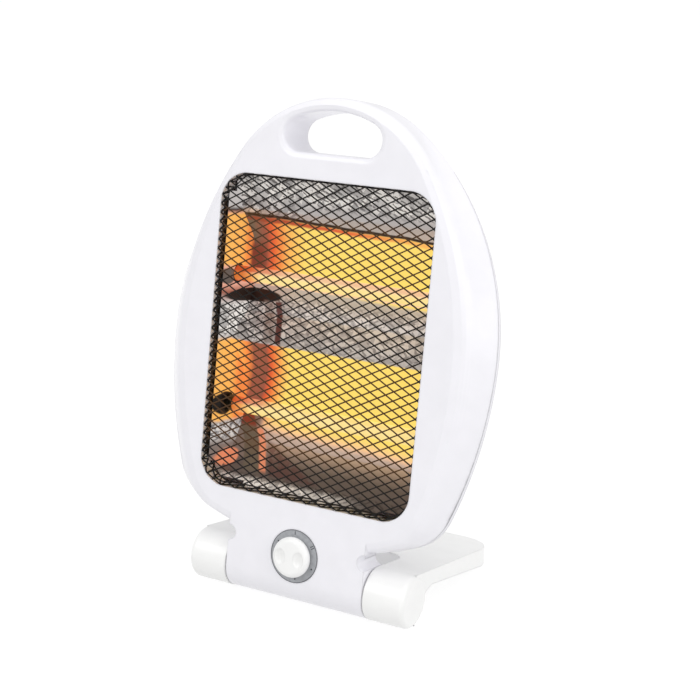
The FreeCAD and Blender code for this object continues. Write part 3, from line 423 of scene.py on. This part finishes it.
def reflector_metal():
    """Bright sheet with foil folds, painted with the glow of the tubes that its troughs throw back, and
    with painted shade and reflections.
    """
    graph = Graph("crinkled reflector sheet")
    across = graph.along("x")
    height = graph.along("z")
    level = graph.wander(graph.slanted(height, across, 0.04), 35.0, 5.0)
    folds, shade = crinkle(graph, across, height)
    painted = bare_sheet(graph, across, height, shade)

    # Painted glow of the two troughs, and a painted shadow under the lower tube's left end
    under_upper_top = graph.before(level, UPPER_TROUGH_TOP, 1)
    upper_trough = graph.times(under_upper_top, graph.past(level, UPPER_TROUGH_BOTTOM, 2))
    painted = graph.mix(upper_trough, painted, upper_trough_glow(graph, across, height, level))
    under_tube_end = graph.times(graph.step(level, 112, 106), graph.step(across, -62, -70))
    under_lower_top = graph.before(height, LOWER_TROUGH_TOP, 0.75)
    lower_trough = graph.times(under_lower_top, graph.past(level, LOWER_TROUGH_BOTTOM, 3))
    lower_trough = graph.times(lower_trough, graph.math("SUBTRACT", 1.0, under_tube_end))
    painted = graph.mix(lower_trough, painted, lower_trough_glow(graph, across, height, level))
    painted = graph.mix(graph.times(under_tube_end, graph.step(level, 74, 78)), painted, SHADOW)

    # Painted shade along the edge above the upper trough, and a painted reflection of the dark lens and
    # lines that the sheet mirrors at the left
    painted = graph.mix(graph.band(level, 263.0, 265.4, 0.6), painted, DARK_BROWN)
    painted = graph.mix(graph.oval(across, height, (-80, 204), (23, 5)), painted, DARK_BROWN)
    mirror_edge = graph.slanted(across, height, 0.516)
    middle_panel = graph.band(height, 172, 201, 1)
    grey_stripe = graph.times(graph.band(mirror_edge, 32.0, 40.5, 1.5), middle_panel, 0.7)
    painted = graph.mix(grey_stripe, painted, SHADOW)
    dark_line = graph.times(graph.band(mirror_edge, 42.2, 47.4, 0.8), middle_panel)
    painted = graph.mix(dark_line, painted, MAROON)

    # Painted reflection of the end plate below the lower tube: an olive field, a coral strip, a spot and
    # a dark corner of painted shade
    strip = graph.slanted(across, height, 0.62)
    field = graph.band(strip, -20.0, -6.0, 1.0)
    painted = graph.mix(graph.times(field, graph.band(height, 72, 103, 2)), painted, OLIVE)
    painted = graph.mix(graph.times(field, graph.band(height, 102, 112, 1.5)), painted, RED_BROWN)
    spot = graph.oval(across, height, (-81, 78.5), (6.5, 6), 0.3)
    coral_strip = graph.times(graph.band(strip, -6.0, 0.0, 1.0), graph.band(height, 73, 101, 2))
    painted = graph.mix(graph.most(spot, coral_strip), painted, CORAL)
    under_diagonal = graph.step(graph.slanted(height, across, 0.40), 73.5, 69.5)
    dark_corner = graph.times(under_diagonal, graph.step(strip, 1.0, 4.0), graph.step(height, 70, 72))
    painted = graph.mix(graph.times(dark_corner, graph.step(folds, 0.3, 0.5), 0.7), painted, MAROON)

    # Only the front has the painted glow; what is lit takes less light from the lamps
    lit = graph.most(upper_trough, lower_trough, coral_strip, spot)
    front = graph.step(graph.facing(-AXES["y"]), -0.05, 0.05)
    surface = graph.mix(lit, painted, graph.shaded(painted, DIMMED_SHEET))
    strength = graph.slanted(SHEET_GLOW, lit, TROUGH_GLOW - SHEET_GLOW)
    graph.set(Base_Color=graph.mix(front, BARE_METAL, surface), Metallic=0.25, Roughness=0.38)
    graph.set(Emission_Color=painted, Emission_Strength=graph.times(front, strength))
    graph.bump(folds, 0.25, 0.0015)
    return graph.material


def end_plate_metal():
    """The plates at the ends of the troughs, with the light of the tubes in front of them painted on,
    and painted shade.
    """
    graph = Graph("lit end plate")
    depth = graph.along("y")
    height = graph.along("z")
    level = graph.wander(height, 60.0, 4.0)
    folds, shade = crinkle(graph, depth, height)
    painted = graph.tones(level, [
        (88, SHADOW), (95, FOIL), (172, FOIL), (178, PALE_FOIL), (197, PALE_FOIL),
        (207, BROWN), (213, BLUSH), (266, BLUSH), (269, DARK_BROWN), (272, FOIL),
    ])
    crumpled = graph.most(graph.band(height, 174, 198, 2), graph.band(height, 92, 106, 3))
    painted = graph.shaded(painted, shade, crumpled)
    # Painted glow beside the troughs, amber near the front and orange further back, turning red-brown at
    # the deep end
    glow = graph.mix(graph.step(depth, 4.0, 18.0), AMBER, ORANGE)
    beside_troughs = graph.most(graph.band(level, 107, 171, 2), graph.band(level, 226, 266, 2))
    painted = graph.mix(beside_troughs, painted, glow)
    deep_end = graph.times(graph.step(depth, 17.0, 23.0), graph.band(height, 220, 245, 5))
    painted = graph.mix(deep_end, painted, RED_BROWN)

    # Painted dark lens and shadow by the upper tube, painted shade round the lower one in its hole, and
    # a painted spot of light below it
    painted = graph.mix(graph.oval(depth, height, (24, 204), (34, 5)), painted, DARK_BROWN)
    painted = graph.mix(graph.oval(depth, height, (-8, 219), (8, 6), 0.3), painted, DEEP_SHADOW)
    lower_tube = TUBE_HEIGHTS["lower"]
    painted = graph.mix(graph.oval(depth, height, (-1, lower_tube), (13, 9)), painted, HOLE_SHADE)
    painted = graph.mix(graph.oval(depth, height, (9, 78), (18, 7), 0.3), painted, CORAL)

    # Only the side towards the tubes has the painted glow
    inward = graph.times(graph.facing(-AXES["x"]), graph.along("x"))
    inner_side = graph.step(inward, -40.0, -5.0)
    surface = graph.shaded(painted, DIMMED_PLATE)
    graph.set(Base_Color=graph.mix(inner_side, BARE_METAL, surface), Metallic=0.2, Roughness=0.4)
    graph.set(Emission_Color=painted, Emission_Strength=graph.times(inner_side, TROUGH_GLOW))
    graph.bump(folds, 0.2, 0.001)
    return graph.material


def glowing_quartz(name, level, end_tone, rim_tone):
    """A tube that glows pale yellow, with a painted shading of its rims above and below, and a darker
    left end.
    """
    graph = Graph(name)
    across = graph.along("x")
    rise = graph.math("SUBTRACT", graph.along("z"), level)
    core = graph.ramp(graph.noise(70.0, 3.0), list(zip((0.3, 0.7), TUBE_CORE)))
    upper_rim = graph.mix(graph.step(across, -58, -36), CORAL, rim_tone)
    glow = graph.mix(graph.step(rise, 0.5, 3.5), core, upper_rim)
    glow = graph.mix(graph.step(rise, -3.6, -5.6), glow, rim_tone)
    ends = graph.tones(across, [
        (-84, end_tone), (-78.2, end_tone), (-77.3, CORAL), (-71, TUBE_END), (-60, UNCHANGED),
    ])
    graph.set(Base_Color=graph.shaded(TUBE_BODY, ends), Roughness=0.12)
    graph.set(Emission_Color=graph.shaded(glow, ends), Emission_Strength=TUBE_GLOW)
    return graph.material


def glowing_wire():
    """Resistance wire, orange to yellow with its heat."""
    graph = Graph("glowing resistance wire")
    hotter = graph.noise(120.0, 3.0)
    heat = graph.ramp(hotter, [(0.3, srgb(255, 150, 50)), (0.7, srgb(255, 215, 110))])
    graph.set(Base_Color=srgb(90, 60, 40), Roughness=0.5)
    graph.set(Emission_Color=heat, Emission_Strength=COIL_GLOW)
    return graph.material


def ceramic_with_hole_shade():
    """Cream ceramic, with painted shade near black where it meets the end plate, in the plate's hole."""
    graph = Graph("ceramic with painted hole shade")
    grain = graph.noise(GRAIN)
    edge = graph.wander(graph.math("ABSOLUTE", graph.along("x")), GRAIN, 6.0)
    clean = graph.ramp(grain, [(0.3, srgb(214, 208, 196)), (0.7, srgb(232, 226, 214))])
    graph.set(Base_Color=graph.mix(graph.step(edge, 88.0, 93.0), HOLE_SHADE, clean), Roughness=0.7)
    graph.bump(grain, 0.1, GRAIN_DEPTH)
    return graph.material


def plain(name, dark, light, roughness, metallic=0.0, bump=0.1):
    """One tone with a fine grain."""
    graph = Graph(name)
    grain = graph.noise(GRAIN)
    graph.set(Base_Color=graph.ramp(grain, [(0.3, dark), (0.7, light)]))
    graph.set(Roughness=roughness, Metallic=metallic)
    graph.bump(grain, bump, GRAIN_DEPTH)
    return graph.material


HOUSING_WHITE = srgb(247, 246, 251)
# Lighter than the housing's white: painted light on the foot and knob
LIT_FOOT_WHITE = srgb(253, 253, 252)
EDGE_RADIUS = 0.0016
DOME_EDGE_RADIUS = 0.004

white = white_plastic("white gloss plastic", HOUSING_WHITE, EDGE_RADIUS)
lit_white_foot = white_plastic("white gloss plastic of the foot and knob, painted lighter", LIT_FOOT_WHITE, EDGE_RADIUS)
white_dome = white_plastic("white gloss plastic of the back", HOUSING_WHITE, DOME_EDGE_RADIUS)
guard_black = black_wire()
wall_brown = plain("brown-black guard wall", srgb(20, 14, 11), srgb(46, 34, 28), 0.6, bump=0.3)
plate_sheet = end_plate_metal()
dial_grey = plain("grey dial print", srgb(158, 160, 164), srgb(176, 178, 182), 0.5)
mark_dark = plain("dark dial ink", srgb(60, 62, 66), srgb(78, 80, 84), 0.6)
quartz_tubes = {
    "upper": glowing_quartz("upper glowing quartz", TUBE_HEIGHTS["upper"], CORAL, PEACH),
    # The lower tube's left end takes painted shade, near black, in its hole in the end plate
    "lower": glowing_quartz("lower glowing quartz", TUBE_HEIGHTS["lower"], HOLE_SHADE, PALE_GOLD),
}

finishes = {
    "white_plastic": white,
    "guard_black": guard_black,
    "reflector_sheet": reflector_metal(),
    "quartz": quartz_tubes["upper"],
    "glowing_wire": glowing_wire(),
    "ceramic": ceramic_with_hole_shade(),
    "steel": plain("plated steel", srgb(140, 140, 142), srgb(190, 190, 192), 0.35, metallic=1.0),
    "dial_grey": dial_grey,
    "switch_black": plain("black moulded plastic", srgb(18, 18, 18), srgb(34, 34, 34), 0.5),
    "terminal_cream": plain("cream moulded plastic", srgb(214, 206, 182), srgb(228, 220, 198), 0.5),
    "washer_grey": dial_grey,
    "pad_rubber": plain("black rubber", srgb(20, 20, 20), srgb(38, 38, 38), 0.8, bump=0.3),
}
for subpart in frame["record"]["subparts"]:
    piece = nodes[subpart["node"]]
    piece.data.materials.clear()
    piece.data.materials.append(finishes[subpart["material_slot"]])
for level, finish in quartz_tubes.items():
    nodes[level + "_quartz_tube"].data.materials[0] = finish
nodes["rear_shell"].data.materials[0] = white_dome
for name in ("foot", "knob"):
    nodes[name].data.materials[0] = lit_white_foot
for side in ("left", "right"):
    nodes[side + "_end_plate"].data.materials[0] = plate_sheet


# Mesh guard: two families of straight wires, bent back over the edge of the window, in millimetres

WIRE_RADIUS = 0.55
GUARD_INSET = 0.8
GUARD_FACE = FRONT - 0.4
GUARD_WALL = 8.4
DEEP_WALL = 13.0
SIDE_BAND = 3.5
SIDE_INSET = 0.4
RIM_RADIUS = 0.5
NET_STEPS = 160


def window_edge_distance(x, z):
    """How far a point lies outside the guard's fold, the nearest point of the fold and the way out."""
    corner = WINDOW_CORNER - GUARD_INSET
    across = WINDOW_HALF_WIDTH - GUARD_INSET - corner
    up = WINDOW_HALF_HEIGHT - GUARD_INSET - corner
    core_x = max(-across, min(across, x))
    core_z = max(WINDOW_MIDDLE - up, min(WINDOW_MIDDLE + up, z))
    core = Vector((core_x, core_z))
    away = Vector((x, z)) - core
    if away.length < 1e-6:
        return -corner, Vector((x, z)), Vector((0, 1))
    outward = away.normalized()
    return away.length - corner, core + outward * corner, outward


def wall_depth(outward):
    """Depth of the guard's wall, which is deepest below and round the corners."""
    below = max(0.0, -outward.y) ** 4
    corner = (2 * outward.x * outward.y) ** 2
    return GUARD_WALL + (DEEP_WALL - GUARD_WALL) * max(below, corner)


def guard_point(x, z):
    """Where a point of the flat net ends up once the net is bent into its tray."""
    outside, edge, outward = window_edge_distance(x, z)
    if outside <= 0:
        return row(x, GUARD_FACE, z)
    return row(edge.x, GUARD_FACE + outside * wall_depth(outward) / GUARD_WALL, edge.y)


def add_tube_curve(name, paths, radius, closed=False, sides=2):
    curve = bpy.data.curves.new(name, "CURVE")
    curve.dimensions = "3D"
    curve.bevel_depth = radius * MM
    curve.bevel_resolution = sides
    for path in paths:
        spline = curve.splines.new("POLY")
        spline.points.add(len(path) - 1)
        for point, place in zip(spline.points, path):
            point.co = (*place, 1.0)
        spline.use_cyclic_u = closed
    return add_object(name, curve)


def wire_path(index, slope):
    """One wire of the net; it crosses the window once, because the window has no hollow side."""
    half_width = WINDOW_HALF_WIDTH + GUARD_WALL
    path = []
    for step in range(NET_STEPS + 1):
        x = -half_width + 2 * half_width * step / NET_STEPS
        z = WINDOW_MIDDLE + index * CELL_HEIGHT + slope * x
        outside, _, _ = window_edge_distance(x, z)
        if outside <= GUARD_WALL:
            path.append(guard_point(x, z))
    return path


def net_paths():
    half_width = WINDOW_HALF_WIDTH + GUARD_WALL
    reach = WINDOW_HALF_HEIGHT + GUARD_WALL
    count = int((reach + half_width * CELL_SLOPE) / CELL_HEIGHT) + 1
    rows = range(-count, count + 1)
    paths = [wire_path(index, slope) for slope in (CELL_SLOPE, -CELL_SLOPE) for index in rows]
    return [path for path in paths if len(path) > 1]


def make_side_bands():
    """A brown-black band at the back of the guard's two upright walls."""
    low = WINDOW_BOTTOM + WINDOW_CORNER
    high = WINDOW_TOP - WINDOW_CORNER
    back = GUARD_FACE + GUARD_WALL
    points = []
    faces = []
    for side in (-1, 1):
        x = side * (WINDOW_HALF_WIDTH - SIDE_INSET)
        corners = ((back - SIDE_BAND, low), (back, low), (back, high), (back - SIDE_BAND, high))
        faces.append(tuple(range(len(points), len(points) + 4)))
        points += [row(x, depth, height) for depth, height in corners]
    return add_sheet("guard_side_bands", points, faces, SIDE_INSET)


def back_edge_path(inset, steps_per_corner=10):
    """The back edge of the guard's wall as a closed path."""
    corner = WINDOW_CORNER - inset
    across = WINDOW_HALF_WIDTH - inset - corner
    up = WINDOW_HALF_HEIGHT - inset - corner
    path = []
    for quarter, (side_x, side_z) in enumerate(((1, 1), (-1, 1), (-1, -1), (1, -1))):
        for step in range(steps_per_corner + 1):
            angle = math.pi / 2 * (quarter + step / steps_per_corner)
            outward = Vector((math.cos(angle), math.sin(angle)))
            x = side_x * across + corner * outward.x
            z = WINDOW_MIDDLE + side_z * up + corner * outward.y
            path.append(row(x, GUARD_FACE + wall_depth(outward), z))
    return path


guard_net = add_tube_curve("guard_net", net_paths(), WIRE_RADIUS, sides=1)
guard_net.data.materials.append(guard_black)
rim_path = back_edge_path(GUARD_INSET + RIM_RADIUS)
guard_rim = add_tube_curve("guard_rim", [rim_path], RIM_RADIUS, closed=True)
guard_rim.data.materials.append(guard_black)
guard_side_bands = make_side_bands()
guard_side_bands.data.materials.append(wall_brown)
for piece in (guard_net, guard_rim, guard_side_bands):
    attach(piece, "housing")
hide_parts("mesh_guard")


# Lips of the end plates, flared out towards the guard's upright walls; places are across and depth

LIP_FRONT = (87.2, -12.2)
LIP_BACK = (83.7, -6.5)
LIP_SHEET = 0.4
LIP_END = 15.0
LIP_STEPS = 24


def make_plate_lip(name, side):
    """A flared strip between an end plate and the guard; side is -1 at the left and 1 at the right."""
    low = WINDOW_BOTTOM + LIP_END
    high = WINDOW_TOP - LIP_END
    points = []
    for step in range(LIP_STEPS + 1):
        height = low + (high - low) * step / LIP_STEPS
        points += [row(side * x, depth, height) for x, depth in (LIP_FRONT, LIP_BACK)]
    faces = [(2 * step, 2 * step + 1, 2 * step + 3, 2 * step + 2) for step in range(LIP_STEPS)]
    piece = add_sheet(name, points, faces, LIP_SHEET)
    piece.data.materials.append(plate_sheet)
    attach(piece, "housing")


make_plate_lip("left_plate_lip", -1)
make_plate_lip("right_plate_lip", 1)


# Dial print: one bar and two bars for the heat steps, dots for the stops, and a dark outline.
# Bars give an angle and a place aside, dots an angle and a radius.

DIAL_RADIUS = 20.0
INK = 0.12
BAR_SIZE = (0.55, 2.9)
BAR_RADIUS = 17.6
BARS = ((-2.0, 0.0), (57.0, -0.8), (57.0, 0.8))
DOT_RADIUS = 0.65
DOTS = ((113.0, 17.0), (172.0, 16.9), (302.0, 16.9))
OUTLINE_RADIUS = 0.22
OUTLINE_STEPS = 72


def dial_point(angle, radius, aside, depth):
    """A point of the dial's face, from an angle clockwise from the top."""
    turn = math.radians(angle)
    x = radius * math.sin(turn) + aside * math.cos(turn)
    z = radius * math.cos(turn) - aside * math.sin(turn)
    return row(x, depth, KNOB_HEIGHT + z)


def bar_outline(angle, aside):
    half_width = BAR_SIZE[0] / 2
    half_length = BAR_SIZE[1] / 2
    return [(angle, BAR_RADIUS + along * half_length, aside + across * half_width)
            for along, across in ((-1, -1), (-1, 1), (1, 1), (1, -1))]


def dot_outline(angle, radius, corners=14):
    turns = [2 * math.pi * corner / corners for corner in range(corners)]
    return [(angle, radius + DOT_RADIUS * math.cos(turn), DOT_RADIUS * math.sin(turn)) for turn in turns]


def make_dial_marks():
    points = []
    faces = []
    for outline in [bar_outline(*bar) for bar in BARS] + [dot_outline(*dot) for dot in DOTS]:
        start = len(points)
        count = len(outline)
        for depth in (DIAL_FACE, DIAL_FACE - INK):
            points += [dial_point(*place, depth) for place in outline]
        faces.append(tuple(range(start + count, start + 2 * count)))
        for index in range(count):
            after = (index + 1) % count
            faces.append((start + index, start + after, start + count + after, start + count + index))
    return add_mesh("dial_marks", points, faces)


dial_marks = make_dial_marks()
ring_radius = DIAL_RADIUS - OUTLINE_RADIUS
ring_angles = [360 / OUTLINE_STEPS * step for step in range(OUTLINE_STEPS)]
outline = [dial_point(angle, ring_radius, 0, DIAL_FACE) for angle in ring_angles]
dial_outline = add_tube_curve("dial_outline", [outline], OUTLINE_RADIUS, closed=True)
for piece in (dial_marks, dial_outline):
    piece.data.materials.append(mark_dark)
    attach(piece, "housing")


# Floor, backdrop and light: lengths in metres, and strengths on the object and as the camera sees them

FLOOR_HALF = 6.0
FLOOR_LIGHT = 0.5
FLOOR_SEEN = 0.82
WORLD_LIGHT = 0.72
WORLD_SEEN = 1.0
LIGHT_TARGET = (0.0, 0.0, 0.18)


def backdrop_material():
    """White to the camera and to mirrors, and a pale surface that keeps the object's shadow."""
    graph = Graph("white backdrop")
    graph.set(Base_Color=(0.25, 0.25, 0.25), Roughness=0.9, Specular_IOR_Level=0.1)
    path = graph.node("ShaderNodeLightPath")
    rays = ("Is Camera Ray", "Is Glossy Ray", "Is Transmission Ray")
    seen = graph.most(*[path.outputs[ray] for ray in rays])
    emission = graph.node("ShaderNodeEmission")
    graph.link(graph.slanted(FLOOR_LIGHT, seen, FLOOR_SEEN - FLOOR_LIGHT), emission.inputs["Strength"])
    total = graph.node("ShaderNodeAddShader")
    graph.link(graph.shader.outputs[0], total.inputs[0])
    graph.link(emission.outputs[0], total.inputs[1])
    graph.link(total.outputs[0], graph.output.inputs["Surface"])
    return graph.material


def make_floor():
    corners = [(x * FLOOR_HALF, y * FLOOR_HALF, 0) for x, y in ((-1, -1), (1, -1), (1, 1), (-1, 1))]
    floor = add_mesh("floor", corners, [(0, 1, 2, 3)])
    floor.data.materials.append(backdrop_material())


def make_world():
    world = bpy.data.worlds.new("studio")
    bpy.context.scene.world = world
    world.use_nodes = True
    tree = world.node_tree
    background = tree.nodes["Background"]
    path = tree.nodes.new("ShaderNodeLightPath")
    seen = tree.nodes.new("ShaderNodeMath")
    seen.operation = "MAXIMUM"
    tree.links.new(path.outputs["Is Camera Ray"], seen.inputs[0])
    tree.links.new(path.outputs["Is Transmission Ray"], seen.inputs[1])
    strength = tree.nodes.new("ShaderNodeMix")
    strength.inputs["A"].default_value = WORLD_LIGHT
    strength.inputs["B"].default_value = WORLD_SEEN
    tree.links.new(seen.outputs[0], strength.inputs["Factor"])
    tree.links.new(strength.outputs["Result"], background.inputs["Strength"])
    background.inputs["Color"].default_value = (1, 1, 1, 1)


def add_area_light(name, place, size, power):
    light = bpy.data.lights.new(name, "AREA")
    light.energy = power
    light.size = size
    lamp = add_object(name, light)
    lamp.location = place
    toward = Vector(LIGHT_TARGET) - Vector(place)
    lamp.rotation_euler = toward.to_track_quat("-Z", "Y").to_euler()


make_floor()
make_world()
add_area_light("key", (-0.9, -1.5, 1.5), size=1.2, power=8.6)
add_area_light("top", (0.2, 0.2, 1.9), size=1.4, power=8.0)
add_area_light("fill", (1.6, -0.5, 0.8), size=1.2, power=6.8)


# Camera at the photograph's angle: places in millimetres, the focal length in pixels

CAMERA_AZIMUTH = math.radians(29.68)
CAMERA_ELEVATION = math.radians(17.32)
CAMERA_DISTANCE = 1186.3
CAMERA_FOCUS = 1578.13
CAMERA_SIDE = 33.508
CAMERA_RISE = 171.983
PHOTO_SIZE = 700.0
SENSOR = 36.0


def make_camera():
    toward = Vector((
        math.sin(CAMERA_AZIMUTH) * math.cos(CAMERA_ELEVATION),
        -math.cos(CAMERA_AZIMUTH) * math.cos(CAMERA_ELEVATION),
        math.sin(CAMERA_ELEVATION),
    ))
    right = Vector((math.cos(CAMERA_AZIMUTH), math.sin(CAMERA_AZIMUTH), 0.0))
    up = toward.cross(right)
    place = ORIGIN + right * CAMERA_SIDE + up * CAMERA_RISE + toward * CAMERA_DISTANCE
    data = bpy.data.cameras.new("camera")
    data.sensor_width = SENSOR
    data.lens = CAMERA_FOCUS / PHOTO_SIZE * SENSOR
    camera = add_object("camera", data)
    turn = Matrix((right, up, toward)).transposed()
    camera.matrix_world = Matrix.Translation(place * MM) @ turn.to_4x4()
    bpy.context.scene.camera = camera


make_camera()
bpy.context.scene.view_settings.view_transform = "Standard"
